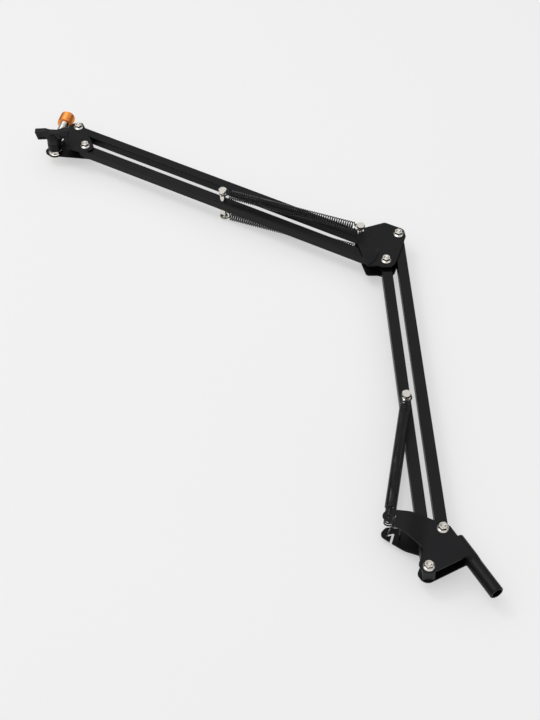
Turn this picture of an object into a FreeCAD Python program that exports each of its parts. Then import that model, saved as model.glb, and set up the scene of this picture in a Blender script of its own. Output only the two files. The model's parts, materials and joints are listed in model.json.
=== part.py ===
import FreeCAD, Part
import math
import os

# A sprung scissor boom arm for a microphone, lying on its side.
# The origin is on the axis of the base pin, where the pin leaves its bracket.
# The pin points along -Y, and every pivot of the arm is parallel to Z.

Vector = FreeCAD.Vector
UP = Vector(0, 0, 1)

# Arm tubes
tube_size = 10.0
tube_wall = 1.0
tube_corner = 0.9
lower_arm_length = 350.0
upper_arm_length = 355.0
lower_arm_angle = 64.0
upper_arm_angle = 121.6
tube_overhang = 4.8
plug_cap = 0.8
plug_insert = 0.8
plug_gap = 0.05

# Shared elbow pivot of the two front tubes
lug_reach = 14.0
lug_insert = 16.0
tongue_thickness = 4.0
lap_gap = 0.3

# Sheet brackets and pivots
plate_gap = 12.0
sheet = 1.2
bolt_radius = 2.0
bolt_hex = 7.0
bolt_head = 2.6
bolt_end = 0.3
thread_gap = 0.05
nut_flange_radius = 5.0
nut_flange = 1.2
nut_height = 4.2
sleeve_radius = 3.0
running_gap = 0.08
washer_radius = 4.8
washer_thickness = 0.8

# Base bracket and pin
base_width = 44.0
base_height = 66.0
pin_radius = 6.0
pin_bore_radius = 4.4
pin_free_length = 36.0
pin_wrap_length = 20.0
pin_chamfer = 0.6
pin_collar = 0.5
pin_seat_depth = 0.5
weld_groove = 0.3
wrap_side = 0.35
weld_gap = 0.02
base_front_share = (-0.823, 0.111)
base_rear_share = (-0.146, 0.497)
base_ear_share = (-0.948, 0.903)
base_outline_shares = (
    (0.0, 0.0, 0.0),
    (0.0, 0.485, 0.16),
    (-0.284, 0.72, 0.45),
    (-0.875, 1.005, 0.105),
    (-1.08, 0.947, 0.105),
    (-0.973, 0.773, 0.11),
    (-0.673, 0.341, 0.16),
    (-0.975, 0.18, 0.12),
    (-0.975, 0.0, 0.155),
)
ear_bend_angle = 48.0
ear_bend_start = 8.0
ear_bend_run = 14.4
ear_bend_radius = 16.0
ear_rise = 6.5
ear_slot_width = 2.0
ear_slot_shares = ((0.0, 0.0), (0.115, -0.02), (-0.06, -0.135))

# Elbow and head plates, as shares of the distance between their pivots
elbow_outline_shares = (
    (-0.02, -0.36, 0.24),
    (-0.265, -0.066, 0.06),
    (-0.51, 0.066, 0.1),
    (-0.27, 1.02, 0.16),
    (-0.115, 1.31, 0.15),
    (0.69, 1.19, 0.1),
    (0.975, 0.74, 0.15),
    (0.88, 0.49, 0.12),
)
elbow_post_share = (-0.061, 1.132)
head_link_length = 33.0
head_link_angle = 79.1
head_top_outline_shares = (
    (0.22, -0.265, 0.18),
    (-0.2, -0.265, 0.18),
    (-0.52, 0.2, 0.15),
    (-0.5, 0.62, 0.2),
    (-0.04, 1.24, 0.18),
    (0.41, 1.24, 0.18),
)
head_bottom_outline_shares = (
    (0.2, -0.31, 0.16),
    (-1.13, 0.68, 0.22),
    (-1.02, 0.96, 0.2),
    (-0.62, 1.0, 0.25),
    (-0.04, 1.24, 0.18),
    (0.41, 1.24, 0.18),
)
tilt_share = (-0.805, 0.67)

# Spring posts and springs
post_radius = 3.4
post_tail_radius = 2.2
post_neck_radius = 2.2
post_neck_start = 12.6
post_neck_end = 16.0
post_head_radius = 4.1
post_top = 19.0
post_edge = 0.5
lower_post_distance = 171.0
upper_post_distance = 184.5
wire_radius = 0.6
coil_radius = 3.4
spring_turns = 24
spring_tail_length = 3.0
spring_lead_length = 5.0
spring_seat_gap = 0.3
ear_spring_drop = 1.8

# Microphone mount
tilt_bolt_radius = 3.0
tilt_head_radius = 8.0
tilt_head_height = 4.2
tilt_nut_hex = 10.0
tilt_nut_flange_radius = 7.0
tilt_nut_flange = 1.3
tilt_nut_height = 4.0
swivel_radius = 6.8
swivel_height = 9.6
swivel_edge = 0.8
swivel_gap = 0.1
swivel_boss_radius = 4.8
swivel_boss_reach = 15.0
stud_radius = 4.7625
stud_start = 8.6
stud_end = 48.0
stud_chamfer = 0.8
mount_angle = 50.0
adapter_radius = 7.9375
adapter_start = 35.5
adapter_length = 13.5
adapter_chamfer = 0.7

# Wing knob
knob_gap = 0.2
knob_hub_radius = 6.6
knob_hub_height = 5.5
knob_span = 36.0
knob_thickness = 7.0
knob_height = 10.6
knob_wing_lift = 5.5
knob_end_slant = 2.4
knob_saddle_radius = 11.0
knob_saddle_depth = 2.0
knob_edge = 1.1
knob_recess_depth = 0.9
knob_recess_border = 2.0
knob_bore_depth = 11.0
knob_angle = -26.0

# One overrun for all cuts
overrun = 1.0

half_tube = tube_size / 2
half_gap = plate_gap / 2
plate_top = half_gap + sheet
spring_level = (post_neck_start + post_neck_end) / 2
ear_level = half_gap + ear_rise + sheet / 2
bracket_edge = Vector(0, pin_collar + weld_groove, 0)


def polar(length, angle):
    return Vector(length * math.cos(math.radians(angle)), length * math.sin(math.radians(angle)), 0)


def lift(height):
    return Vector(0, 0, height)


def scaled(share, width, height):
    return Vector(share[0] * width, share[1] * height, 0)


# Pivots, worked out from the base bracket outwards
base_front = scaled(base_front_share, base_width, base_height)
base_rear = scaled(base_rear_share, base_width, base_height)
base_ear = scaled(base_ear_share, base_width, base_height)
lower_link = base_rear - base_front
elbow_front = base_front + polar(lower_arm_length, lower_arm_angle)
elbow_rear = elbow_front + lower_link
elbow_post = elbow_front + scaled(elbow_post_share, lower_link.Length, lower_link.Length)
upper_link = polar(head_link_length, head_link_angle)
elbow_upper = elbow_front + upper_link
head_front = elbow_front + polar(upper_arm_length, upper_arm_angle)
head_rear = head_front + upper_link
tilt_axis = head_front + scaled(tilt_share, head_link_length, head_link_length)
lower_post = base_front + polar(lower_post_distance, lower_arm_angle)
upper_post = elbow_front + polar(upper_post_distance, upper_arm_angle)


def save(name, solids):
    shape = solids[0] if len(solids) == 1 else Part.makeCompound(solids)
    shape.exportStep(os.path.join("parts", name + ".step"))


def cylinder(radius, bottom, top, centre):
    return Part.makeCylinder(radius, top - bottom, centre + lift(bottom))


def ring(outer, inner, bottom, top, centre):
    body = cylinder(outer, bottom, top, centre)
    return body.cut(cylinder(inner, bottom - overrun, top + overrun, centre))


def placed(shape, point, angle):
    moved = shape.copy()
    moved.Placement = FreeCAD.Placement(point, FreeCAD.Rotation(UP, angle)).multiply(shape.Placement)
    return moved


def hexagon(across_flats, bottom, top, centre):
    corner = across_flats / math.sqrt(3)
    points = [centre + lift(bottom) + polar(corner, 60 * step) for step in range(7)]
    return Part.Face(Part.makePolygon(points)).extrude(lift(top - bottom))


def rounded_outline(points, radii):
    """A closed wire through the points, with a tangent arc of the given radius at each corner."""
    starts, ends, edges = [], [], []
    count = len(points)
    for index, point in enumerate(points):
        before = (points[index - 1] - point).normalize()
        after = (points[(index + 1) % count] - point).normalize()
        half = before.getAngle(after) / 2
        reach = radii[index] / math.tan(half)
        start, end = point + before * reach, point + after * reach
        if radii[index] > 0:
            centre = point + (before + after).normalize() * (radii[index] / math.sin(half))
            middle = centre + (point - centre).normalize() * radii[index]
            edges.append((index, Part.Arc(start, middle, end).toShape()))
        starts.append(start)
        ends.append(end)
    for index in range(count):
        edges.append((index + 0.5, Part.makeLine(ends[index], starts[(index + 1) % count])))
    return Part.Wire([edge for place, edge in sorted(edges, key=lambda item: item[0])])


def outline_prism(shares, width, height, origin, bottom, top):
    points = [origin + scaled(share, width, height) + lift(bottom) for share in shares]
    radii = [share[2] * width for share in shares]
    return Part.Face(rounded_outline(points, radii)).extrude(lift(top - bottom))


# Tubes, their plugs and the lapped ends at the elbow

def square_bar(start, end, size, corner):
    bar = Part.makeBox(end - start, size, size, Vector(start, -size / 2, -size / 2))
    along = [edge for edge in bar.Edges if abs(edge.tangentAt(edge.FirstParameter).x) > 0.5]
    return bar.makeFillet(corner, along)


def arm_tube(start, end, pivots, posts):
    """A square tube along +X with holes across it for its pivots and its spring posts."""
    inside = tube_size - 2 * tube_wall
    tube = square_bar(start, end, tube_size, tube_corner)
    tube = tube.cut(square_bar(start - overrun, end + overrun, inside, tube_corner / 2))
    holes = [(place, sleeve_radius + running_gap) for place in pivots]
    holes += [(place, post_tail_radius + thread_gap) for place in posts]
    for place, radius in holes:
        tube = tube.cut(cylinder(radius, -tube_size, tube_size, Vector(place, 0, 0)))
    return tube


def end_plug(place, outward):
    """A moulded plug that closes a tube end; outward is +1 or -1 along the tube."""
    cap = square_bar(0, plug_cap, tube_size, tube_corner)
    inside = tube_size - 2 * tube_wall - 2 * plug_gap
    plug = cap.fuse(square_bar(-plug_insert, plug_cap / 2, inside, tube_corner / 2)).removeSplitter()
    if outward < 0:
        plug.rotate(Vector(0, 0, 0), UP, 180)
    plug.translate(Vector(place, 0, 0))
    return plug


def lap_lug(far, tines):
    """The end fitting of a front tube: an insert in the tube and one tongue, or two tines, at the pivot."""
    inside = tube_size - 2 * tube_wall - 2 * plug_gap
    insert = square_bar(far - lug_reach - lug_insert, far - lug_reach, inside, tube_corner / 2)
    lug = insert
    for bottom, top in tines:
        height = top - bottom
        bar = Part.makeBox(lug_reach, tube_size, height, Vector(far - lug_reach, -half_tube, bottom))
        end = cylinder(half_tube, bottom, top, Vector(far, 0, 0))
        lug = lug.fuse(bar.fuse(end))
    lug = lug.cut(cylinder(sleeve_radius + running_gap, -tube_size, tube_size, Vector(far, 0, 0)))
    return lug.removeSplitter()


def build_tubes():
    near = -tube_overhang + plug_cap
    half_tongue = tongue_thickness / 2
    tine = half_tongue + lap_gap
    arms = (
        ("lower", lower_arm_length, lower_arm_angle, base_front, base_rear, lower_post_distance, 1),
        ("upper", upper_arm_length, upper_arm_angle, elbow_front, elbow_upper, upper_post_distance, -1),
    )
    for name, length, angle, front, rear, post, elbow_side in arms:
        # The front tube starts at its plain pivot and ends in the lug of the shared elbow pivot
        plain = front if elbow_side > 0 else front + polar(length, angle)
        turn = angle if elbow_side > 0 else angle + 180
        post_place = post if elbow_side > 0 else length - post
        tube = arm_tube(near, length - lug_reach, [0], [post_place])
        save(name + "_front_tube", [placed(tube, plain, turn)])
        save(name + "_front_end_plug", [placed(end_plug(near, -1), plain, turn)])
        if elbow_side > 0:
            lug = lap_lug(length, [(-half_tongue, half_tongue)])
            save("lower_front_tongue", [placed(lug, plain, turn)])
        else:
            lug = lap_lug(length, [(-half_tube, -tine), (tine, half_tube)])
            save("upper_front_fork", [placed(lug, plain, turn)])
        far = length - near
        save(name + "_rear_tube", [placed(arm_tube(near, far, [0, length], []), rear, angle)])
        plugs = [end_plug(near, -1), end_plug(far, 1)]
        save(name + "_rear_end_plugs", [placed(plug, rear, angle) for plug in plugs])


# Pivot hardware

def pivot_bolt(centre):
    head = hexagon(bolt_hex, -plate_top - bolt_head, -plate_top, centre)
    shank = cylinder(bolt_radius, -plate_top, plate_top + nut_height + bolt_end, centre)
    return head.fuse(shank)


def flange_nut(across_flats, flange_radius, flange, height, bore, bottom, centre):
    disc = Part.makeCone(flange_radius, across_flats / 2, flange, centre + lift(bottom))
    nut = disc.fuse(hexagon(across_flats, bottom, bottom + height, centre))
    return nut.cut(cylinder(bore, bottom - overrun, bottom + height + overrun, centre))


def pivot_nut(centre):
    return flange_nut(
        bolt_hex, nut_flange_radius, nut_flange, nut_height, bolt_radius + thread_gap, plate_top, centre
    )


def pivot_sleeve(centre):
    return ring(sleeve_radius, bolt_radius + thread_gap, -half_gap, half_gap, centre)


def pivot_washers(centre):
    inner = sleeve_radius + running_gap
    seat = half_gap - washer_thickness
    return [
        ring(washer_radius, inner, seat, half_gap, centre),
        ring(washer_radius, inner, -half_gap, -seat, centre),
    ]


def build_pivots():
    sets = (
        ("base", (base_front, base_rear), (base_front, base_rear)),
        ("elbow", (elbow_front, elbow_rear), (elbow_front, elbow_rear, elbow_upper)),
        ("head", (head_front, head_rear), (head_front, head_rear)),
    )
    for name, bolted, washered in sets:
        save(name + "_pivot_bolts", [pivot_bolt(centre) for centre in bolted])
        save(name + "_flange_nuts", [pivot_nut(centre) for centre in bolted])
        save(name + "_pivot_sleeves", [pivot_sleeve(centre) for centre in bolted])
        save(name + "_washers", [washer for centre in washered for washer in pivot_washers(centre)])
    # The rear upper tube turns on a flush riveted pin
    rivet = cylinder(bolt_radius, -plate_top, plate_top, elbow_upper)
    rivet = rivet.fuse(cylinder(sleeve_radius, -half_gap, half_gap, elbow_upper))
    save("elbow_rivet_pin", [rivet.removeSplitter()])


# Sheet brackets

def drilled(plate, centres):
    for centre in centres:
        plate = plate.cut(cylinder(bolt_radius + thread_gap, -plate_top * 2, plate_top * 2, centre))
    return plate


def flared_sheet():
    """The sheet of the upper base plate, with the ear side swept up and away from the tubes."""
    reach = base_width + base_height
    bend_end = ear_bend_start + ear_bend_run
    profile = [
        (-reach, half_gap, 0),
        (ear_bend_start, half_gap, ear_bend_radius),
        (bend_end, half_gap + ear_rise, ear_bend_radius),
        (reach, half_gap + ear_rise, 0),
        (reach, plate_top + ear_rise, 0),
        (bend_end, plate_top + ear_rise, ear_bend_radius),
        (ear_bend_start, plate_top, ear_bend_radius),
        (-reach, plate_top, 0),
    ]
    points = [Vector(-reach, across, height) for across, height, bend in profile]
    wire = rounded_outline(points, [bend for across, height, bend in profile])
    strip = Part.Face(wire).extrude(Vector(2 * reach, 0, 0))
    return placed(strip, base_front, ear_bend_angle)


def slot_run(start, end, height):
    """A round-ended cutter from one point to the other."""
    along = end - start
    turn = math.degrees(math.atan2(along.y, along.x))
    half = ear_slot_width / 2
    box = Part.makeBox(along.Length, ear_slot_width, height, Vector(0, -half, 0))
    run = placed(box, start, turn)
    return run.fuse([cylinder(half, 0, height, start), cylinder(half, 0, height, end)])


def base_plate():
    """The upper half of the base bracket: flat plate, flared ear and its hooked spring slot."""
    top = plate_top + ear_rise + overrun
    outline = outline_prism(base_outline_shares, base_width, base_height, bracket_edge, 0, top)
    plate = outline.common(flared_sheet())
    corners = [base_ear + scaled(share, base_width, base_height) for share in ear_slot_shares]
    for start, end in zip(corners, corners[1:]):
        plate = plate.cut(slot_run(start, end, top))
    return plate


def ear_reach(direction):
    """How far the ear's sheet goes on from its hole in the given direction."""
    start = base_ear + lift(ear_level)
    line = Part.makeLine(start, start + direction * base_height)
    inside = base_plate().common(line)
    return max((vertex.Point - start).Length for vertex in inside.Vertexes)


def pin_wrap():
    """The half round in which the sheet folds about the pin, worn down at the side to lie nearly flush."""
    along = Vector(0, pin_wrap_length, 0)
    inner = pin_radius - pin_seat_depth + weld_gap
    oval = Part.Ellipse(lift(plate_top), Vector(pin_radius + wrap_side, 0, 0), Vector(0, 0, 0))
    shell = Part.Face(Part.Wire([oval.toShape()])).extrude(along)
    shell = shell.cut(Part.makeCylinder(inner, pin_wrap_length, Vector(0, 0, 0), along))
    keep = Part.makeBox(plate_top, pin_wrap_length, 2 * plate_top, lift(-plate_top))
    return shell.common(keep).translated(bracket_edge)


def build_base():
    upper = base_plate()
    lower = upper.mirror(Vector(0, 0, 0), UP)
    bracket = upper.fuse([lower, pin_wrap()])
    bracket = drilled(bracket, (base_front, base_rear)).removeSplitter()
    save("base_bracket", [bracket])
    # The pin is turned down where it sits in the bracket, up to a collar just past the origin
    start = Vector(0, -pin_free_length, 0)
    along = Vector(0, 1, 0)
    full_length = pin_free_length + pin_collar
    length = full_length + weld_groove + pin_wrap_length
    pin = Part.makeCylinder(pin_radius, full_length, start, along)
    rim = [edge for edge in pin.Edges if edge.BoundBox.YMax < -pin_free_length / 2 and edge.Closed]
    pin = pin.makeChamfer(pin_chamfer, rim)
    seat_start = Vector(0, pin_collar, 0)
    pin = pin.fuse(Part.makeCylinder(pin_radius - pin_seat_depth, length - full_length, seat_start, along))
    bore = Part.makeCylinder(pin_bore_radius, length + 2 * overrun, start - along * overrun, along)
    save("base_pin", [pin.cut(bore)])


def build_plates():
    link = lower_link.Length
    shapes = (
        ("elbow_top_plate", elbow_outline_shares, link, elbow_front, half_gap),
        ("elbow_bottom_plate", elbow_outline_shares, link, elbow_front, -plate_top),
        ("head_top_plate", head_top_outline_shares, head_link_length, head_front, half_gap),
        ("head_bottom_plate", head_bottom_outline_shares, head_link_length, head_front, -plate_top),
    )
    pivots = {
        "elbow": (elbow_front, elbow_rear, elbow_upper),
        "head": (head_front, head_rear),
    }
    for name, shares, size, origin, bottom in shapes:
        plate = outline_prism(shares, size, size, origin, bottom, bottom + sheet)
        plate = drilled(plate, pivots[name.split("_")[0]])
        if name.startswith("elbow"):
            plate = plate.cut(cylinder(post_tail_radius + thread_gap, -post_top, post_top, elbow_post))
        if name == "head_bottom_plate":
            plate = plate.cut(cylinder(tilt_bolt_radius + thread_gap, -post_top, post_top, tilt_axis))
        save(name, [plate])


# Spring posts and springs

def spring_post(seat, wall):
    """A turned post on the +Z side: riveted tail, collar, neck for the spring's eye and flat head."""
    profile = [
        (0, seat - wall),
        (post_tail_radius, seat - wall),
        (post_tail_radius, seat),
        (post_radius, seat),
        (post_radius, post_neck_start - post_edge),
        (post_neck_radius, post_neck_start),
        (post_neck_radius, post_neck_end),
        (post_head_radius, post_neck_end),
        (post_head_radius, post_top - post_edge),
        (post_head_radius - post_edge, post_top),
        (0, post_top),
    ]
    points = [Vector(radius, 0, height) for radius, height in profile]
    face = Part.Face(Part.makePolygon(points + points[:1]))
    return face.revolve(Vector(0, 0, 0), UP, 360)


def build_posts():
    posts = (
        ("lower_spring_posts", lower_post, half_tube, tube_wall),
        ("upper_spring_posts", upper_post, half_tube, tube_wall),
        ("elbow_spring_posts", elbow_post, plate_top, sheet),
    )
    for name, centre, seat, wall in posts:
        upper = spring_post(seat, wall)
        lower = upper.mirror(Vector(0, 0, 0), UP)
        save(name, [placed(upper, centre, 0), lower.translated(centre)])


def arc_edge(start, tangent, end):
    """The arc that leaves start along tangent and reaches end."""
    chord = end - start
    side = chord - tangent * chord.dot(tangent)
    side.normalize()
    radius = chord.dot(chord) / (2 * chord.dot(side))
    centre = start + side * radius
    middle = ((start - centre) + (end - centre)).normalize()
    if chord.dot(tangent) < 0:
        middle = middle * -1
    return Part.Arc(start, centre + middle * radius, end).toShape()


def biarc(start, start_tangent, end, end_tangent):
    """Two tangent arcs between two points with given directions."""
    span = end - start
    both = start_tangent + end_tangent
    bend = 2 * (1 - start_tangent.dot(end_tangent))
    slope = span.dot(both)
    step = (math.sqrt(slope * slope + bend * span.dot(span)) - slope) / bend
    corner_one = start + start_tangent * step
    corner_two = end - end_tangent * step
    joint = (corner_one + corner_two) * 0.5
    direction = (corner_two - corner_one).normalize()
    return [arc_edge(start, start_tangent, joint), arc_edge(joint, direction, end)]


def coil_path(length):
    """The wire's centre line along +Z: straight tail, lead-in, helix of biarcs, and the same back."""
    begin = spring_tail_length + spring_lead_length
    pitch = (length - 2 * begin) / spring_turns
    rise = pitch / (2 * math.pi)
    steps = 2 * spring_turns

    def on_coil(step):
        turn = math.pi * step
        point = Vector(coil_radius * math.cos(turn), coil_radius * math.sin(turn), begin + rise * turn)
        tangent = Vector(-coil_radius * math.sin(turn), coil_radius * math.cos(turn), rise)
        return point, tangent.normalize()

    tail_end = Vector(0, 0, spring_tail_length)
    far_tail = Vector(0, 0, length - spring_tail_length)
    edges = [Part.makeLine(Vector(0, 0, 0), tail_end)]
    edges += biarc(tail_end, UP, *on_coil(0))
    for step in range(steps):
        edges += biarc(*on_coil(step), *on_coil(step + 1))
    edges += biarc(*on_coil(steps), far_tail, UP)
    edges.append(Part.makeLine(far_tail, Vector(0, 0, length)))
    return Part.Wire(edges)


def least_gap(path, name):
    """Prints the least distance between turns of the wire, measured on points along it."""
    spacing = wire_radius
    points = path.discretize(Distance=spacing)
    apart = int(math.pi * coil_radius / spacing)
    reach = int(3 * math.pi * coil_radius / spacing)
    gap = min(
        (points[index] - other).Length
        for index in range(len(points))
        for other in points[index + apart:index + reach]
    )
    print(name, "least gap between turns", round(gap - 2 * wire_radius, 2), "mm")


def spring(start, end, name):
    axis = end - start
    path = coil_path(axis.Length)
    least_gap(path, name)
    section = Part.Wire([Part.Circle(Vector(0, 0, 0), UP, wire_radius).toShape()])
    shell = Part.BRepOffsetAPI.MakePipeShell(path)
    shell.add(section, False, False)
    shell.build()
    shell.makeSolid()
    coil = shell.shape()
    coil.Placement = FreeCAD.Placement(start, FreeCAD.Rotation(UP, axis))
    return coil


def build_springs():
    ear_to_post = (lower_post - base_ear).normalize()
    post_to_post = (upper_post - elbow_post).normalize()
    seat = post_neck_radius + spring_seat_gap
    rim = ear_reach(ear_to_post) + spring_seat_gap
    lower = (
        base_ear + ear_to_post * rim + lift(ear_level - ear_spring_drop),
        lower_post - ear_to_post * seat + lift(spring_level),
    )
    upper = (
        elbow_post + post_to_post * seat + lift(spring_level),
        upper_post - post_to_post * seat + lift(spring_level),
    )
    for arm, (start, end) in (("lower", lower), ("upper", upper)):
        name = arm + "_spring_"
        coil = spring(start, end, name + "top")
        save(name + "top", [coil])
        save(name + "bottom", [coil.mirror(Vector(0, 0, 0), UP)])


# Microphone mount at the head

def wing_knob():
    """A moulded wing knob about Z: round hub, two slanted wings, a saddle between them and recessed faces."""
    half_span = knob_span / 2
    half_thick = knob_thickness / 2
    top = knob_wing_lift + knob_height
    outline = [
        Vector(-half_span + knob_end_slant, -half_thick, knob_wing_lift),
        Vector(half_span - knob_end_slant, -half_thick, knob_wing_lift),
        Vector(half_span, -half_thick, top),
        Vector(-half_span, -half_thick, top),
    ]
    wings = Part.Face(Part.makePolygon(outline + outline[:1])).extrude(Vector(0, knob_thickness, 0))
    saddle_centre = Vector(0, -knob_thickness, top + knob_saddle_radius - knob_saddle_depth)
    across = Vector(0, 1, 0)
    wings = wings.cut(Part.makeCylinder(knob_saddle_radius, 2 * knob_thickness, saddle_centre, across))
    wings = wings.makeFillet(knob_edge, wings.Edges)
    recess_start = knob_hub_radius + knob_recess_border / 2
    recess_end = half_span - knob_end_slant - knob_recess_border
    recess_height = knob_height - 2 * knob_recess_border
    for side in (-1, 1):
        for wing in (-1, 1):
            low_x = recess_start if wing > 0 else -recess_end
            low_y = half_thick - knob_recess_depth if side > 0 else -half_thick - overrun
            recess = Part.makeBox(
                recess_end - recess_start,
                knob_recess_depth + overrun,
                recess_height,
                Vector(low_x, low_y, knob_wing_lift + knob_recess_border),
            )
            wings = wings.cut(recess)
    hub = Part.makeCone(knob_hub_radius, half_thick + knob_edge, knob_height / 2, lift(knob_hub_height))
    hub = hub.fuse(cylinder(knob_hub_radius, 0, knob_hub_height, Vector(0, 0, 0)))
    knob = wings.fuse(hub)
    bore = cylinder(tilt_bolt_radius + running_gap, -overrun, knob_bore_depth, Vector(0, 0, 0))
    return knob.cut(bore).removeSplitter()


def dome_head(radius, height, top, centre):
    """A round bolt head under a plate: a ball's cap as wide and as deep as the head."""
    ball = (radius * radius + height * height) / (2 * height)
    sphere = Part.makeSphere(ball, centre + lift(top - height + ball))
    return sphere.common(cylinder(radius, top - height, top, centre))


def build_mount():
    nut_top = -half_gap + tilt_nut_height
    swivel_bottom = nut_top + swivel_gap
    swivel_top = swivel_bottom + swivel_height
    knob_bottom = swivel_top + knob_gap
    middle = lift((swivel_bottom + swivel_top) / 2)
    outward = polar(1, mount_angle)

    bolt_top = knob_bottom + knob_bore_depth - overrun
    bolt = cylinder(tilt_bolt_radius, -plate_top, bolt_top, tilt_axis)
    bolt = bolt.fuse(dome_head(tilt_head_radius, tilt_head_height, -plate_top, tilt_axis))
    save("tilt_bolt", [bolt])
    nut = flange_nut(
        tilt_nut_hex,
        tilt_nut_flange_radius,
        tilt_nut_flange,
        tilt_nut_height,
        tilt_bolt_radius + thread_gap,
        -half_gap,
        tilt_axis,
    )
    save("tilt_flange_nut", [nut])

    block = cylinder(swivel_radius, swivel_bottom, swivel_top, tilt_axis)
    block = block.makeChamfer(swivel_edge, [edge for edge in block.Edges if edge.Closed])
    boss = Part.makeCylinder(swivel_boss_radius, swivel_boss_reach, tilt_axis + middle, outward)
    block = block.fuse(boss)
    block = block.cut(cylinder(tilt_bolt_radius + running_gap, -post_top, post_top, tilt_axis))
    socket = tilt_axis + middle + outward * stud_start
    block = block.cut(Part.makeCylinder(stud_radius - stud_chamfer, swivel_boss_reach, socket, outward))
    save("swivel_block", [block.removeSplitter()])

    stud_seat = tilt_axis + middle + outward * swivel_boss_reach
    stud = Part.makeCylinder(stud_radius, stud_end - swivel_boss_reach, stud_seat, outward)
    shank_length = swivel_boss_reach - stud_start
    stud = stud.fuse(Part.makeCylinder(stud_radius - stud_chamfer, shank_length, socket, outward))
    save("mic_stud", [stud.removeSplitter()])

    start = tilt_axis + middle + outward * adapter_start
    adapter = Part.makeCylinder(adapter_radius, adapter_length, start, outward)
    adapter = adapter.makeChamfer(adapter_chamfer, [edge for edge in adapter.Edges if edge.Closed])
    back = start - outward * overrun
    adapter = adapter.cut(
        Part.makeCylinder(stud_radius + thread_gap, adapter_length + 2 * overrun, back, outward)
    )
    save("thread_adapter", [adapter])

    knob = placed(wing_knob(), tilt_axis + lift(knob_bottom), knob_angle)
    save("wing_knob", [knob])


os.makedirs("parts", exist_ok=True)
build_tubes()
build_pivots()
build_base()
build_plates()
build_posts()
build_springs()
build_mount()
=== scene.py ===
import json
import math

import bmesh
import bpy
from mathutils import Matrix, Vector


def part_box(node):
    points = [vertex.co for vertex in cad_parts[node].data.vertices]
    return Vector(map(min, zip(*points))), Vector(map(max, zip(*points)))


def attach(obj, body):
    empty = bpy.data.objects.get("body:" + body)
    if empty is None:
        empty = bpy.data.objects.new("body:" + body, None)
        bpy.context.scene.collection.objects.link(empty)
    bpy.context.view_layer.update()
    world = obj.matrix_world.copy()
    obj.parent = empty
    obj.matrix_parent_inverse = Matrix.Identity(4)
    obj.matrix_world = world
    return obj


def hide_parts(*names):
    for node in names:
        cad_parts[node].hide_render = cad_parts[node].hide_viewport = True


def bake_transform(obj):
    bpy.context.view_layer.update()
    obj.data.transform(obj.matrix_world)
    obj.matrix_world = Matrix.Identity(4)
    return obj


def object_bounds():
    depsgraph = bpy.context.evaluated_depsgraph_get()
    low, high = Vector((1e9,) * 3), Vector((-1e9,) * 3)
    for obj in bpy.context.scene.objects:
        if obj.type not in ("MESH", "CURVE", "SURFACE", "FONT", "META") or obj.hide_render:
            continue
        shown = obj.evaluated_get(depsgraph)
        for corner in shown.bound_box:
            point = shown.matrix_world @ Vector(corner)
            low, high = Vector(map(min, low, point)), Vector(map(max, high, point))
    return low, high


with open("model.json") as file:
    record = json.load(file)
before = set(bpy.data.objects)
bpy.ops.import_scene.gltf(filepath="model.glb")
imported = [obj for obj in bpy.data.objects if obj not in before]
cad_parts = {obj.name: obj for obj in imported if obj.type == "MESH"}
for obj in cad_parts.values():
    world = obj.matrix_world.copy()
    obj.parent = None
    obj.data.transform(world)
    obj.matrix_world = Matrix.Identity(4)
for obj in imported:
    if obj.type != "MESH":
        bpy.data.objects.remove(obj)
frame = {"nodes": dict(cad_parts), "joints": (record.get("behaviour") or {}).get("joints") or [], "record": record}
cad_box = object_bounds()
nodes = frame["nodes"]
joints = {joint["name"]: Vector(joint["pos_m"]) for joint in frame["joints"]}
scene = bpy.context.scene
scene.view_settings.view_transform = "Standard"

MM = 0.001
UP = Vector((0, 0, 1))

# Most of a noise texture's values lie between these two
NOISE_LOW, NOISE_HIGH = 0.3, 0.7
COOL_SHEEN = (0.93, 0.94, 1, 1)


# Pivots of the arm, taken from the frame

base_front = joints["lower_arm_swing"]
base_rear = joints["lower_rear_swing"]
elbow_front = joints["elbow_level"]
elbow_rear = elbow_front + base_rear - base_front
head_front = joints["head_level"]
head_rear = head_front + joints["upper_rear_swing"] - elbow_front
tilt_axis = joints["mic_tilt"]


# Camera at the photograph's viewing angle

def add_camera():
    azimuth, elevation, roll = math.radians(27.34), math.radians(48.06), math.radians(1.27)
    distance, focal_px, height_px, sensor_mm = 1.2363, 1358.7, 720, 36
    aim = Vector((-0.0392, 0.2679, 0))
    forward = Vector((
        math.sin(azimuth) * math.cos(elevation),
        math.cos(azimuth) * math.cos(elevation),
        -math.sin(elevation),
    ))
    right = Vector((math.cos(azimuth), -math.sin(azimuth), 0))
    up = right.cross(forward)
    right_rolled = right * math.cos(roll) - up * math.sin(roll)
    up_rolled = up * math.cos(roll) + right * math.sin(roll)
    data = bpy.data.cameras.new("camera")
    data.sensor_fit = "VERTICAL"
    data.sensor_height = sensor_mm
    data.lens = focal_px / height_px * sensor_mm
    data.clip_end = 20
    camera = bpy.data.objects.new("camera", data)
    turn = Matrix((right_rolled, up_rolled, -forward)).transposed().to_4x4()
    camera.matrix_world = Matrix.Translation(aim - forward * distance) @ turn
    scene.collection.objects.link(camera)
    scene.camera = camera


# Materials

def fill_ramp(node, stops):
    """Sets a colour ramp's stops, each a place and a colour."""
    elements = node.color_ramp.elements
    while len(elements) < len(stops):
        elements.new(0.5)
    for element, (place, colour) in zip(elements, stops):
        element.position = place
        element.color = (*colour, 1)


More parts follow.
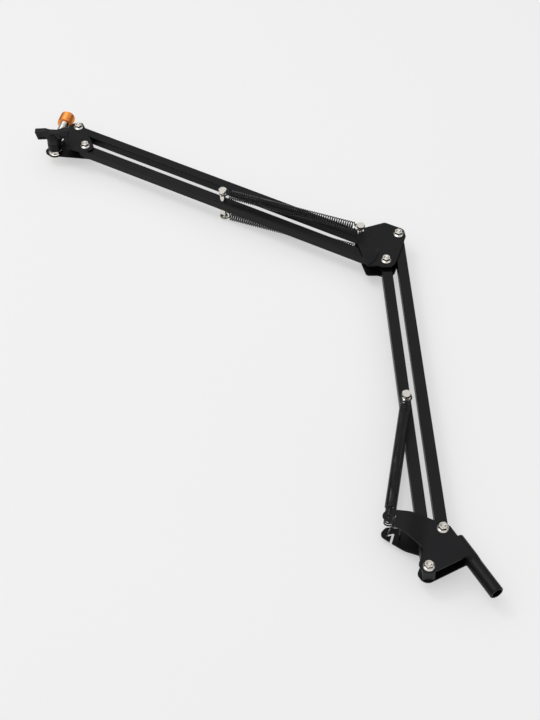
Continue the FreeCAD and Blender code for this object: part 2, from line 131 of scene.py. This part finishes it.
class Nodes:
    """A small helper that builds one material's node tree."""

    def __init__(self, name):
        self.material = bpy.data.materials.new(name)
        self.material.use_nodes = True
        self.tree = self.material.node_tree
        self.shader = self.tree.nodes["Principled BSDF"]
        self.coords = self.tree.nodes.new("ShaderNodeTexCoord").outputs["Object"]

    def link(self, source, target):
        self.tree.links.new(source, target)

    def noise(self, scale, detail=2.0, stretch=None):
        node = self.tree.nodes.new("ShaderNodeTexNoise")
        node.inputs["Scale"].default_value = scale
        node.inputs["Detail"].default_value = detail
        source = self.coords
        if stretch:
            mapping = self.tree.nodes.new("ShaderNodeMapping")
            mapping.inputs["Scale"].default_value = stretch
            self.link(source, mapping.inputs["Vector"])
            source = mapping.outputs["Vector"]
        self.link(source, node.inputs["Vector"])
        return node.outputs["Fac"]

    def cells(self, scale):
        node = self.tree.nodes.new("ShaderNodeTexVoronoi")
        node.inputs["Scale"].default_value = scale
        self.link(self.coords, node.inputs["Vector"])
        return node.outputs["Distance"]

    def tint(self, factor, stops):
        """A base colour that follows a factor."""
        node = self.tree.nodes.new("ShaderNodeValToRGB")
        fill_ramp(node, stops)
        self.link(factor, node.inputs["Fac"])
        self.link(node.outputs["Color"], self.shader.inputs["Base Color"])

    def roughen(self, factor, rough, less=0.05, more=0.06):
        """A roughness that varies a little about its value."""
        node = self.tree.nodes.new("ShaderNodeMapRange")
        node.inputs["From Min"].default_value = NOISE_LOW
        node.inputs["From Max"].default_value = NOISE_HIGH
        node.inputs["To Min"].default_value = rough - less
        node.inputs["To Max"].default_value = rough + more
        self.link(factor, node.inputs["Value"])
        self.link(node.outputs["Result"], self.shader.inputs["Roughness"])

    def bump(self, height, distance, strength):
        node = self.tree.nodes.new("ShaderNodeBump")
        node.inputs["Distance"].default_value = distance
        node.inputs["Strength"].default_value = strength
        self.link(height, node.inputs["Height"])
        self.link(node.outputs["Normal"], self.shader.inputs["Normal"])

    def set(self, **values):
        for key, value in values.items():
            self.shader.inputs[key.replace("_", " ")].default_value = value


def painted_black(name, low, high, rough, gloss):
    """Satin powder coat: faint cloudiness, a fine orange-peel skin and uneven gloss."""
    n = Nodes(name)
    n.tint(n.noise(60, 3), [(NOISE_LOW, low), (NOISE_HIGH, high)])
    n.roughen(n.noise(900), rough)
    n.bump(n.noise(2200), 0.04 * MM, 0.5)
    n.set(Specular_IOR_Level=gloss, Specular_Tint=COOL_SHEEN)
    return n.material


def bright_metal(name, low, high, rough, scratch_scale):
    """Plated metal with fine turning marks."""
    n = Nodes(name)
    n.tint(n.noise(250, 3), [(NOISE_LOW, low), (NOISE_HIGH, high)])
    streak = n.noise(scratch_scale, 3, (1, 1, 9))
    n.roughen(streak, rough, more=0.08)
    n.bump(streak, 0.01 * MM, 0.35)
    n.set(Metallic=1.0)
    return n.material


def moulded_black(name, low, high, rough, gloss):
    """Moulded plastic with a fine cast grain."""
    n = Nodes(name)
    n.tint(n.noise(180, 3), [(NOISE_LOW, low), (NOISE_HIGH, high)])
    n.roughen(n.noise(700), rough)
    n.bump(n.cells(1500), 0.06 * MM, 0.4)
    n.set(Specular_IOR_Level=gloss, Specular_Tint=COOL_SHEEN)
    return n.material


def grey(value):
    """A dark grey that leans a little to blue."""
    return (value, value, value * 1.05)


materials = {
    "black_paint": painted_black("black_powder_coat", grey(0.004), grey(0.006), 0.42, 0.2),
    "black_spring": painted_black("black_spring_wire", grey(0.003), grey(0.005), 0.2, 0.5),
    "nickel": bright_metal("nickel_plate", (0.74, 0.71, 0.65), (0.86, 0.83, 0.77), 0.13, 900),
    "steel": bright_metal("turned_steel", (0.42, 0.42, 0.42), (0.55, 0.55, 0.55), 0.32, 700),
    "copper": bright_metal("copper_plate", (0.90, 0.29, 0.07), (0.97, 0.38, 0.11), 0.3, 500),
    "black_plastic": moulded_black("black_moulding", grey(0.005), grey(0.008), 0.5, 0.33),
    "nylon": moulded_black("black_nylon", grey(0.010), grey(0.016), 0.45, 0.3),
}


def dress_nodes():
    slots = {part["node"]: part["material_slot"] for part in frame["record"]["subparts"]}
    for name, node in nodes.items():
        node.data.materials.clear()
        node.data.materials.append(materials[slots[name]])


# Mesh helpers

def add_mesh(name, vertices, faces, material, sharp_degrees=35):
    mesh = bpy.data.meshes.new(name)
    mesh.from_pydata([tuple(v) for v in vertices], [], faces)
    mesh.polygons.foreach_set("use_smooth", [True] * len(mesh.polygons))
    mesh.set_sharp_from_angle(angle=math.radians(sharp_degrees))
    mesh.materials.append(materials[material])
    piece = bpy.data.objects.new(name, mesh)
    scene.collection.objects.link(piece)
    return piece


def grid_faces(rows, columns, close_ends=True, first=0):
    """Quads of a tube of rows by columns points, wrapped round, with its two ends closed."""
    faces = []
    for r in range(rows - 1):
        near, far = first + r * columns, first + (r + 1) * columns
        for c in range(columns):
            d = (c + 1) % columns
            faces.append((near + c, near + d, far + d, far + c))
    if close_ends:
        faces.append(tuple(first + c for c in reversed(range(columns))))
        faces.append(tuple(first + (rows - 1) * columns + c for c in range(columns)))
    return faces


def sweep(name, points, radius, sides, material):
    """A round wire along a polyline, with frames carried along it."""
    points = [Vector(p) for p in points]
    last = len(points) - 1
    normal = (points[1] - points[0]).orthogonal().normalized()
    vertices = []
    for i, point in enumerate(points):
        tangent = (points[min(i + 1, last)] - points[max(i - 1, 0)]).normalized()
        normal = (normal - tangent * normal.dot(tangent)).normalized()
        side = tangent.cross(normal)
        for k in range(sides):
            a = 2 * math.pi * k / sides
            vertices.append(point + (normal * math.cos(a) + side * math.sin(a)) * radius)
    return add_mesh(name, vertices, grid_faces(len(points), sides), material)


def smooth_line(controls, step):
    """Points along a smooth curve through the controls."""
    controls = [Vector(c) for c in controls]
    padded = [controls[0] * 2 - controls[1]] + controls + [controls[-1] * 2 - controls[-2]]
    points = []
    for i in range(1, len(padded) - 2):
        p0, p1, p2, p3 = padded[i - 1:i + 3]
        count = max(2, int((p2 - p1).length / step))
        for k in range(count):
            t = k / count
            points.append(0.5 * (
                p1 * 2 + (p2 - p0) * t
                + (p0 * 2 - p1 * 5 + p2 * 4 - p3) * t * t
                + (p1 * 3 - p0 - p2 * 3 + p3) * t * t * t
            ))
    points.append(controls[-1])
    return points


def turned_solids(name, centres, rows, turn_degrees, close_ends=True):
    """Bright round or six-sided solids about Z.

    A row is height, radius, share of hexagon and droop at the hexagon's corners.
    """
    columns, corner_limit = 72, 1.125
    vertices, faces = [], []
    for centre in centres:
        faces += grid_faces(len(rows), columns, close_ends, len(vertices))
        for height, radius, six, droop in rows:
            for c in range(columns):
                angle = 2 * math.pi * c / columns
                corner = 1 / math.cos((angle + math.pi / 6) % (math.pi / 3) - math.pi / 6)
                reach = radius * (1 + six * (min(corner, corner_limit) - 1))
                angle += math.radians(turn_degrees)
                offset = Vector((reach * math.cos(angle), reach * math.sin(angle), height))
                offset.z -= droop * (reach - radius)
                vertices.append(Vector((centre.x, centre.y, 0)) + offset)
    return add_mesh(name, vertices, faces, "nickel", sharp_degrees=25)


def cut_across(shape, place, direction):
    """Adds edges where a plane crosses the shape, so that it can be bent there."""
    geometry = shape.verts[:] + shape.edges[:] + shape.faces[:]
    bmesh.ops.bisect_plane(shape, geom=geometry, plane_co=place, plane_no=direction)


def rounded_copy(name, width, press=None):
    """A copy of a CAD node that stands for it, with its sharp edges rounded.

    A press function then changes the copy's shape.
    """
    same_point, flat_angle, sharp_angle = 0.001 * MM, math.radians(0.5), math.radians(40)
    shape = bmesh.new()
    shape.from_mesh(nodes[name].data)
    bmesh.ops.remove_doubles(shape, verts=shape.verts, dist=same_point)
    bmesh.ops.dissolve_limit(
        shape, angle_limit=flat_angle, verts=shape.verts, edges=shape.edges, delimit={"NORMAL"}
    )
    sharp = [edge for edge in shape.edges if len(edge.link_faces) == 2]
    sharp = [edge for edge in sharp if edge.calc_face_angle() > sharp_angle]
    bmesh.ops.bevel(
        shape, geom=sharp, offset=width, segments=3, profile=0.5,
        affect="EDGES", clamp_overlap=True,
    )
    if press:
        press(shape)
    mesh = bpy.data.meshes.new(name + "_rounded")
    shape.to_mesh(mesh)
    shape.free()
    mesh.polygons.foreach_set("use_smooth", [True] * len(mesh.polygons))
    mesh.materials.append(nodes[name].data.materials[0])
    piece = bpy.data.objects.new(name + "_rounded", mesh)
    scene.collection.objects.link(piece)
    piece.modifiers.new("flat_faces", "WEIGHTED_NORMAL").keep_sharp = True
    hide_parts(name)
    return piece


# Sheet brackets, with rounded edges

def press_dent(shape):
    """Presses a shallow dent with a curved wall into the upper elbow plate, by the front pivot."""
    low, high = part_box("elbow_top_plate")
    centre, radius = elbow_front + Vector((-25.0, 31.6, 0)) * MM, 32.0 * MM
    tip_angle, run_in, flap = math.radians(-22.8), 9.0 * MM, 11.0 * MM
    wall_width, wall_growth = 2.6 * MM, 0.06
    top_depth, under_depth = 1.7 * MM, 0.85 * MM
    corner, spacing = elbow_front + Vector((-22.0, -3.0, 0)) * MM, 0.7 * MM
    x_cuts, y_cuts = 40, 34
    for direction, cuts in ((Vector((1, 0, 0)), x_cuts), (Vector((0, 1, 0)), y_cuts)):
        for step in range(cuts):
            cut_across(shape, corner + direction * (spacing * step), direction)
    for vertex in shape.verts:
        offset = vertex.co - centre
        run = radius * (tip_angle - math.atan2(offset.y, offset.x))
        wall = wall_width + wall_growth * run
        inward = radius - math.hypot(offset.x, offset.y)
        if run > 0 and 0 < inward < wall + flap:
            ramp = min(1, run / run_in)
            slope = inward / wall if inward < wall else (wall + flap - inward) / flap
            level = (vertex.co.z - low.z) / (high.z - low.z)
            depth = under_depth + (top_depth - under_depth) * level
            vertex.co.z -= depth * slope * ramp * ramp * (3 - 2 * ramp)


def add_plates():
    edge = 0.28 * MM
    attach(rounded_copy("base_bracket", edge), "base")
    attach(rounded_copy("elbow_top_plate", edge, press=press_dent), "elbow")
    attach(rounded_copy("elbow_bottom_plate", edge), "elbow")
    for name in ("head_top_plate", "head_bottom_plate"):
        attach(rounded_copy(name, edge), "head")


# Pivot bolts and flange nuts

def nut_rows(bottom, top, across, flange, bore):
    """Rows of a flange nut, from its bore round the flange and the hexagon and back."""
    half = across / 2
    return [
        (bottom, bore, 0, 0),
        (bottom, flange - 0.2 * MM, 0, 0),
        (bottom + 0.15 * MM, flange, 0, 0),
        (bottom + 0.45 * MM, flange, 0, 0),
        (bottom + 0.65 * MM, flange - 0.2 * MM, 0, 0),
        (bottom + 1.15 * MM, half + 0.55 * MM, 0.5, 0),
        (bottom + 1.4 * MM, half, 1, 0),
        (top - 0.35 * MM, half, 1, 0.6),
        (top - 0.2 * MM, half * 0.98, 0.12, 0),
        (top, half * 0.9, 0, 0),
        (top, bore + 0.45 * MM, 0, 0),
        (top - 0.45 * MM, bore, 0, 0),
        (bottom, bore, 0, 0),
    ]


def bolt_rows(head_bottom, head_top, across, shank, end):
    """Rows of a bolt, from its hexagon head up to the hollow in its threaded end."""
    half = across / 2
    thread_length, pitch, depth = 3.2 * MM, 0.7 * MM, 0.28 * MM
    thread = []
    height = end - thread_length
    while height < end - pitch:
        thread += [(height, shank, 0, 0), (height + pitch / 2, shank - depth, 0, 0)]
        height += pitch
    return [
        (head_bottom, half * 0.82, 0, 0),
        (head_bottom + 0.3 * MM, half * 0.97, 0.1, 0),
        (head_bottom + 0.5 * MM, half, 1, -0.6),
        (head_top - 0.1 * MM, half, 1, 0),
        (head_top, half * 0.97, 1, 0),
        (head_top, shank, 0, 0),
    ] + thread + [
        (end - 0.45 * MM, shank, 0, 0),
        (end, shank - 0.5 * MM, 0, 0),
        (end, shank - 0.8 * MM, 0, 0),
        (end - 0.3 * MM, shank - 1.25 * MM, 0, 0),
    ]


def add_fasteners():
    pairs = {
        "base": (base_front, base_rear),
        "elbow": (elbow_front, elbow_rear),
        "head": (head_front, head_rear),
    }
    across, flange, shank, thread_gap = 7.0 * MM, 5.0 * MM, 2.0 * MM, 0.05 * MM
    head_height = 2.6 * MM
    nut_turn, bolt_turn, turn_step = 11, 23, 17
    for count, (body, centres) in enumerate(pairs.items()):
        low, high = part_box(body + "_flange_nuts")
        rows = nut_rows(low.z, high.z, across, flange, shank + thread_gap)
        turn = nut_turn + turn_step * count
        nuts = turned_solids(body + "_nuts_fine", centres, rows, turn, close_ends=False)
        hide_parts(body + "_flange_nuts")
        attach(nuts, body)
        low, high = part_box(body + "_pivot_bolts")
        rows = bolt_rows(low.z, low.z + head_height, across, shank, high.z)
        turn = bolt_turn + turn_step * count
        bolts = turned_solids(body + "_bolts_fine", centres, rows, turn)
        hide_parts(body + "_pivot_bolts")
        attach(bolts, body)
    tilt_across, tilt_flange, tilt_bore, tilt_turn = 10.0 * MM, 7.0 * MM, 3.05 * MM, 8
    low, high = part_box("tilt_flange_nut")
    rows = nut_rows(low.z, high.z, tilt_across, tilt_flange, tilt_bore)
    nut = turned_solids("tilt_nut_fine", [tilt_axis], rows, tilt_turn, close_ends=False)
    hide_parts("tilt_flange_nut")
    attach(nut, "head")


# Threaded stud and adapter, swivel block and knob at the head

def thread_wave(phase):
    """Height of a V thread's flank, from 0 in the root to 1 on the crest, both a little flat."""
    steepness, flat = 1.3, 0.15
    wave = abs((phase % 1) * 2 - 1)
    return min(max(wave * steepness - flat, 0), 1)


def threaded(start, axis, length, radius, pitch, depth, bore, taper, columns):
    """Points and faces of a threaded collar or, with no bore, a threaded rod, about any axis."""
    side = axis.orthogonal().normalized()
    across = axis.cross(side)
    per_pitch, end_slope = 8, 0.9
    count = int(length / pitch * per_pitch)
    end_radius = radius - depth - taper / 2
    vertices = []

    def add_ring(along, reach):
        for c in range(columns):
            angle = 2 * math.pi * c / columns
            outward = side * math.cos(angle) + across * math.sin(angle)
            vertices.append(start + axis * along + outward * reach(angle))

    if bore:
        add_ring(0, lambda angle: bore)
    add_ring(0, lambda angle: end_radius)
    for k in range(count + 1):
        along = length * k / count
        ends = min(along, length - along)
        relief = max(0, taper - ends)

        def reach(angle):
            crest = radius - depth * (1 - thread_wave(along / pitch - angle / (2 * math.pi)))
            return min(crest, radius - relief * end_slope)

        add_ring(along, reach)
    add_ring(length, lambda angle: end_radius)
    if bore:
        add_ring(length, lambda angle: bore)
        add_ring(0, lambda angle: bore)
    rows = len(vertices) // columns
    return vertices, grid_faces(rows, columns, close_ends=not bore)


def scoop_knob(shape):
    """Hollows the top of one wing of the knob for the thumb."""
    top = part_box("wing_knob")[1].z
    wing_angle, cuts = math.radians(-26), 6
    along = Vector((math.cos(wing_angle), math.sin(wing_angle), 0))
    middle, half, depth, reach = 6.0 * MM, 6.6 * MM, 2.2 * MM, 5.0 * MM
    for step in range(-cuts, cuts + 1):
        cut_across(shape, tilt_axis + along * (middle + half * step / cuts), along)
    for vertex in shape.verts:
        share = ((vertex.co - tilt_axis).dot(along) - middle) / half
        if abs(share) < 1:
            height = min(1, max(0, (vertex.co.z - top + reach) / reach))
            vertex.co.z -= depth * height * (1 + math.cos(math.pi * share)) / 2


def add_mount():
    low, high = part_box("thread_adapter")
    middle = (low + high) / 2
    swivel_middle = Vector((tilt_axis.x, tilt_axis.y, middle.z))
    direction = (middle - swivel_middle).normalized()
    adapter_length, stud_start, stud_length = 13.5 * MM, 14.0 * MM, 34.0 * MM
    vertices, faces = threaded(
        middle - direction * (adapter_length / 2), direction, adapter_length,
        radius=7.9375 * MM, pitch=0.94 * MM, depth=0.36 * MM,
        bore=4.82 * MM, taper=0.7 * MM, columns=64,
    )
    adapter = add_mesh("adapter_thread", vertices, faces, "copper", sharp_degrees=50)
    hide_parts("thread_adapter")
    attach(adapter, "mic_mount")
    vertices, faces = threaded(
        swivel_middle + direction * stud_start, direction, stud_length,
        radius=4.76 * MM, pitch=1.5875 * MM, depth=0.75 * MM,
        bore=0, taper=0.8 * MM, columns=48,
    )
    stud = add_mesh("stud_thread", vertices, faces, "nickel", sharp_degrees=50)
    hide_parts("mic_stud")
    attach(stud, "mic_mount")
    swivel_edge, knob_edge = 0.35 * MM, 0.3 * MM
    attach(rounded_copy("swivel_block", swivel_edge), "mic_mount")
    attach(rounded_copy("wing_knob", knob_edge, press=scoop_knob), "clamp_knob")


# Springs, with their end hooks

def spring_points(first, second, first_hook, second_hook, coil_radius, pitch, margin):
    """Wire points along the coil's axis: hook, lead-in, coils, lead-out and hook."""
    axis = (second - first).normalized()
    side = axis.cross(UP).normalized()
    rise = side.cross(axis).normalized()
    start, stop = margin[0], (second - first).length - margin[1]
    turns = round((stop - start) / pitch)
    per_turn, lead_gap, hook_step = 18, 1.6 * MM, 0.35 * MM
    coils = []
    for k in range(turns * per_turn + 1):
        share = k / (turns * per_turn)
        a = 2 * math.pi * turns * share
        centre = first + axis * (start + (stop - start) * share)
        coils.append(centre + (side * math.cos(a) + rise * math.sin(a)) * coil_radius)
    lead_side, lead_rise = side * (0.55 * coil_radius), rise * (0.35 * coil_radius)
    lead = [first + axis * (start - lead_gap) + lead_side - lead_rise]
    out = [first + axis * (stop + lead_gap) + lead_side + lead_rise]
    before = smooth_line(first_hook(axis) + lead + coils[:3], hook_step)
    after = smooth_line(coils[-3:] + out + second_hook(-axis)[::-1], hook_step)
    return before[:-1] + coils[3:-3] + after[1:]


def post_hook(post):
    """An open loop as wide as the coil, pulled against the far side of a post's neck."""
    neck, loop, tip_gap, tip_share = 2.9 * MM, 4.7 * MM, 0.3 * MM, 0.3
    angles = [math.radians(a) for a in range(40, 321, 20)]

    def make(outward):
        flat = Vector((outward.x, outward.y, 0)).normalized()
        across = Vector((-flat.y, flat.x, 0))
        centre = post + flat * (loop - neck)
        eye = [centre + (flat * math.cos(a) + across * math.sin(a)) * loop for a in angles]
        return eye + [centre + flat * (loop + tip_gap) - across * (tip_share * loop)]
    return make


def ear_hook(centre, upward, arch):
    """A hook through the ear's slot.

    It ends in an arch on the inner side or, with no arch, in a turn along the slot's leg.
    """
    leg_top = centre + Vector((4.4, -1.9, 0)) * MM
    leg_foot = centre + Vector((-1.4, -7.6, 0)) * MM
    arch_offset, arch_half = Vector((-0.6, -4.2, 0)) * MM, 4.2 * MM
    leg_tail, arch_tail, slot_depth = 2.6 * MM, 2.0 * MM, 4.0 * MM
    # From the slot to the coil, as the way along and up
    rise_steps = ((1.6 * MM, 1.6 * MM), (4.0 * MM, 1.9 * MM), (7.6 * MM, 1.5 * MM))
    bow_angles = [math.radians(a) for a in range(180, -1, -30)]

    def make(outward):
        flat = Vector((outward.x, outward.y, 0)).normalized()
        across = Vector((-flat.y, flat.x, 0))
        up = UP * upward
        rise = [centre + flat * along + up * height for along, height in rise_steps]
        if not arch:
            leg = [leg_foot - up * leg_tail, leg_foot, (leg_foot + leg_top) / 2, leg_top]
            return leg + rise
        foot = centre - across * arch_half + arch_offset
        bow = [
            foot + across * (arch_half * math.cos(a)) - up * (arch + arch_half * math.sin(a))
            for a in bow_angles
        ]
        tail = foot - across * arch_half - up * arch_tail
        return [tail] + bow + [centre - up * slot_depth, centre] + rise
    return make


def add_springs():
    lower_wire, upper_wire, coil, wire_sides = 0.66 * MM, 0.58 * MM, 4.15 * MM, 8
    lower_pitch, upper_pitch = 2.25 * MM, 2.3 * MM
    ear_margin, post_margin = 10.5 * MM, 7.6 * MM
    level, eye_lift, bottom_arch = 14.3 * MM, 1.0 * MM, 15.0 * MM
    base_width, base_height = 44 * MM, 66 * MM
    half_sheet, ear_drop = 0.6 * MM, 1.8 * MM
    ear_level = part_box("base_bracket")[1].z - half_sheet
    ear = Vector((-0.948 * base_width, 0.903 * base_height, 0))
    posts = {}
    for arm in ("lower", "upper", "elbow"):
        low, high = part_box(arm + "_spring_posts")
        posts[arm] = (low + high) / 2
    for side_name, sign, arch in (("top", 1, 0), ("bottom", -1, bottom_arch)):
        eye_rise = UP * (eye_lift * sign)
        slot_point = ear + UP * (ear_level * sign)
        ear_point = ear + UP * ((ear_level - ear_drop) * sign)
        post_point = posts["lower"] + UP * (level * sign)
        points = spring_points(
            ear_point, post_point,
            ear_hook(slot_point, sign, arch), post_hook(post_point + eye_rise),
            coil, lower_pitch, (ear_margin, post_margin),
        )
        spring = sweep("lower_coil_" + side_name, points, lower_wire, wire_sides, "black_spring")
        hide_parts("lower_spring_" + side_name)
        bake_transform(spring)
        elbow_point = posts["elbow"] + UP * (level * sign)
        far_point = posts["upper"] + UP * (level * sign)
        points = spring_points(
            elbow_point, far_point,
            post_hook(elbow_point + eye_rise), post_hook(far_point + eye_rise),
            coil, upper_pitch, (post_margin, post_margin),
        )
        spring = sweep("upper_coil_" + side_name, points, upper_wire, wire_sides, "black_spring")
        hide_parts("upper_spring_" + side_name)
        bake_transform(spring)


# Weld that runs the bracket's fold smoothly into the pin

def add_weld():
    wide, tall, pin, inside = 6.37 * MM, 7.22 * MM, 6.02 * MM, 5.9 * MM
    begin, length, steps = 1.6 * MM, 6.0 * MM, 14
    end_share, front_share = 0.25, 0.6
    ripple, ripples = 0.2 * MM, 23
    last_angle, fade_angle, angle_step = 136, 30, 4
    vertices = []
    turns = range(last_angle, -last_angle - 1, -angle_step)
    for turn in turns:
        angle = math.radians(turn)
        outward = Vector((math.cos(angle), 0, math.sin(angle)))
        if abs(turn) > 90:
            fold = tall / abs(math.sin(angle))
        else:
            fold = 1 / math.hypot(math.cos(angle) / wide, math.sin(angle) / tall)
        fade = min(1, (last_angle - abs(turn)) / fade_angle)
        share = end_share + (1 - end_share) * fade + front_share * max(0, math.cos(angle))
        reach = length * share + ripple * math.sin(angle * ripples)
        for k in range(steps + 1):
            share = k / steps
            rise = (1 + math.cos(math.pi * share)) / 2
            along = Vector((0, begin - reach * share, 0))
            vertices.append(outward * (pin + (fold - pin) * rise) + along)
        vertices.append(outward * inside + Vector((0, begin - reach, 0)))
        vertices.append(outward * inside + Vector((0, begin, 0)))
    faces = grid_faces(len(turns), steps + 3)
    weld = add_mesh("pin_weld", vertices, faces, "black_paint", sharp_degrees=60)
    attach(weld, "base")


# Light and floor

def add_floor():
    floor_z, half = cad_box[0][2], 4
    corners = ((-half, -half), (half, -half), (half, half), (-half, half))
    mesh = bpy.data.meshes.new("floor")
    mesh.from_pydata([(x, y, floor_z) for x, y in corners], [], [(0, 1, 2, 3)])
    floor = bpy.data.objects.new("floor", mesh)
    scene.collection.objects.link(floor)
    n = Nodes("pale_floor")
    n.tint(n.noise(2), [(0.2, (0.415, 0.415, 0.415)), (0.8, (0.425, 0.425, 0.425))])
    n.set(Roughness=0.9, Specular_IOR_Level=0.1, Emission_Color=(1, 1, 1, 1))
    # The floor looks a little paler to the camera and in reflections than it lights the object
    paler = 0.49
    rays = n.tree.nodes.new("ShaderNodeLightPath")
    seen = n.tree.nodes.new("ShaderNodeMath")
    seen.operation = "MAXIMUM"
    n.link(rays.outputs["Is Camera Ray"], seen.inputs[0])
    n.link(rays.outputs["Is Glossy Ray"], seen.inputs[1])
    lift = n.tree.nodes.new("ShaderNodeMath")
    lift.operation = "MULTIPLY"
    lift.inputs[1].default_value = paler
    n.link(seen.outputs[0], lift.inputs[0])
    n.link(lift.outputs[0], n.shader.inputs["Emission Strength"])
    mesh.materials.append(n.material)


def add_light():
    world = bpy.data.worlds.new("studio")
    scene.world = world
    world.use_nodes = True
    tree = world.node_tree
    # The studio is dark at the horizon, so that steep walls of black paint stay dark
    heights = ((0.0, 0.04), (0.35, 0.22), (0.6, 0.95), (0.88, 0.78))
    background = tree.nodes["Background"]
    background.inputs["Strength"].default_value = 0.9
    coords = tree.nodes.new("ShaderNodeTexCoord")
    split = tree.nodes.new("ShaderNodeSeparateXYZ")
    ramp = tree.nodes.new("ShaderNodeValToRGB")
    fill_ramp(ramp, [(place, (value, value, value)) for place, value in heights])
    tree.links.new(coords.outputs["Generated"], split.inputs["Vector"])
    tree.links.new(split.outputs["Z"], ramp.inputs["Fac"])
    tree.links.new(ramp.outputs["Color"], background.inputs["Color"])
    # Behind the floor the camera sees a plain pale backdrop in place of the studio's light
    rays = tree.nodes.new("ShaderNodeLightPath")
    backdrop = tree.nodes.new("ShaderNodeBackground")
    backdrop.inputs["Color"].default_value = (0.85, 0.85, 0.85, 1)
    choice = tree.nodes.new("ShaderNodeMixShader")
    tree.links.new(rays.outputs["Is Camera Ray"], choice.inputs[0])
    tree.links.new(background.outputs[0], choice.inputs[1])
    tree.links.new(backdrop.outputs[0], choice.inputs[2])
    tree.links.new(choice.outputs[0], tree.nodes["World Output"].inputs["Surface"])

    target = Vector((0.02, 0.3, 0))
    for name, size, watts, place in (
        ("softbox", 2.0, 14, (-0.5, 0.7, 2.2)),
        ("small_softbox", 0.4, 4, (-0.55, 1.15, 1.9)),
    ):
        data = bpy.data.lights.new(name, "AREA")
        data.shape = "SQUARE"
        data.size = size
        data.energy = watts
        lamp = bpy.data.objects.new(name, data)
        lamp.location = place
        aim = target - lamp.location
        lamp.rotation_euler = aim.to_track_quat("-Z", "Y").to_euler()
        scene.collection.objects.link(lamp)


add_camera()
dress_nodes()
add_plates()
add_fasteners()
add_mount()
add_springs()
add_weld()
add_floor()
add_light()
